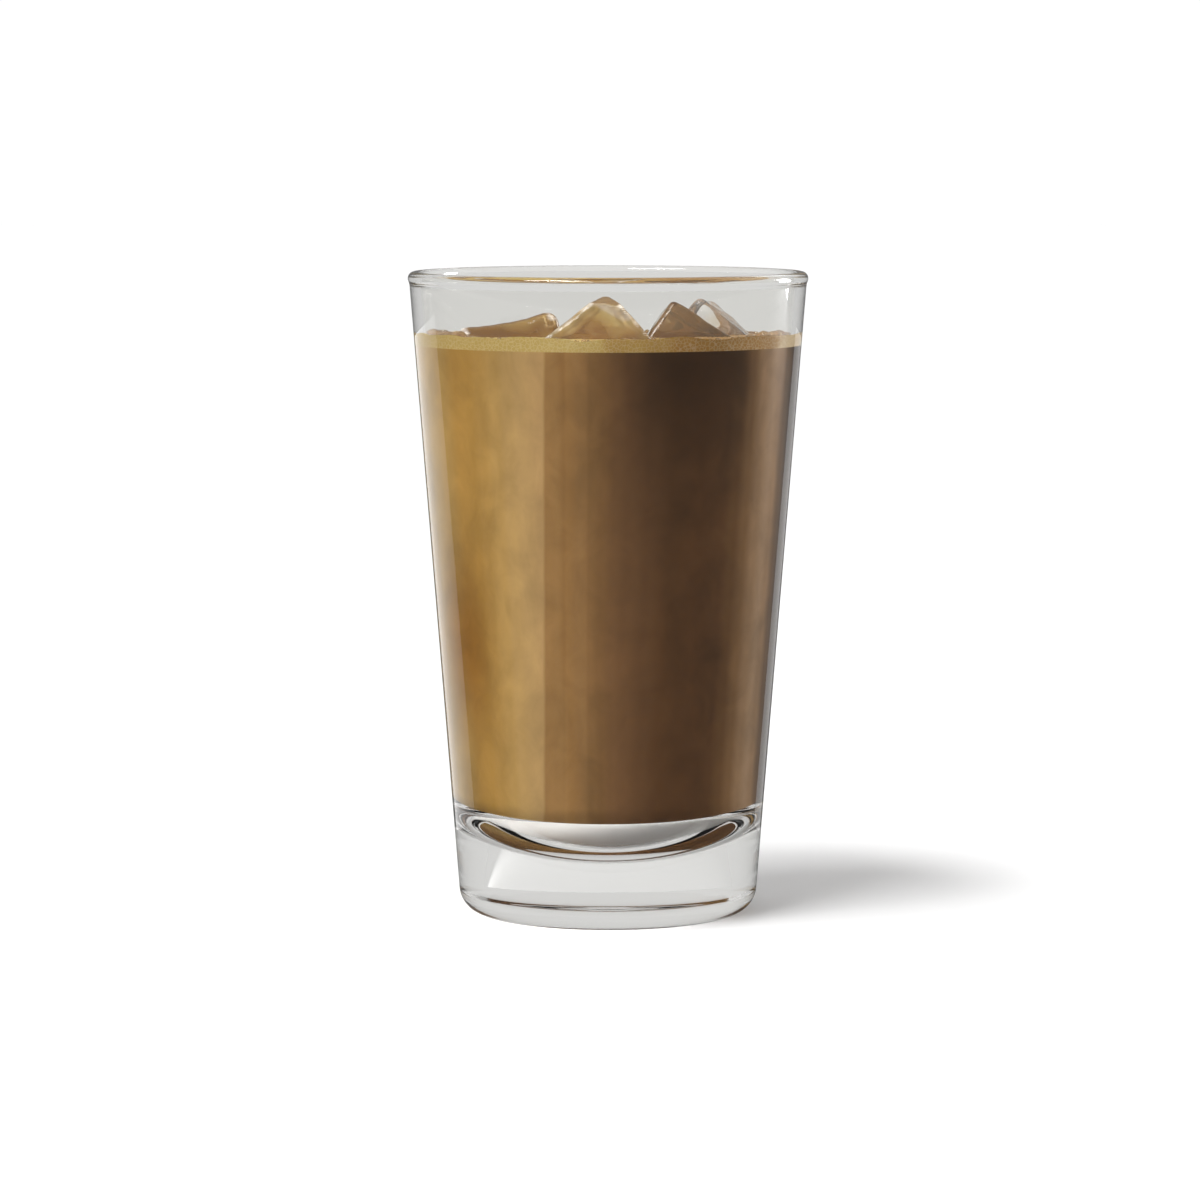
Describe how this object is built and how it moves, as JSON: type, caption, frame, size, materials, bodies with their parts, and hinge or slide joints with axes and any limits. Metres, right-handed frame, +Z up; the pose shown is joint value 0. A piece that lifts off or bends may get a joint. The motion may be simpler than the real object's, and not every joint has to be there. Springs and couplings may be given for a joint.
{
  "type": "iced coffee in a glass tumbler",
  "caption": "Tapered thick-based glass tumbler filled with iced milk coffee, with a thin froth layer and pieces of ice standing out of it.",
  "frame": {"origin": "centre of the glass's flat underside, on the surface that it stands on", "axes": "+Z up along the glass's axis; -Y towards the side from which the ice pieces show left, centre and right"},
  "size_m": [0.08, 0.08, 0.129],
  "materials": {
    "glass": "clear polished soda-lime glass",
    "coffee": "cloudy milk coffee, smooth and wet",
    "foam": "fine pale froth",
    "ice": "wet, half-melted ice stained by the drink"
  },
  "bodies": {
    "root": {"glass": "glass", "coffee": "coffee", "foam": "foam", "ice_left": "ice", "ice_centre": "ice", "ice_right": "ice", "ice_back": "ice"}
  },
  "joints": []
}
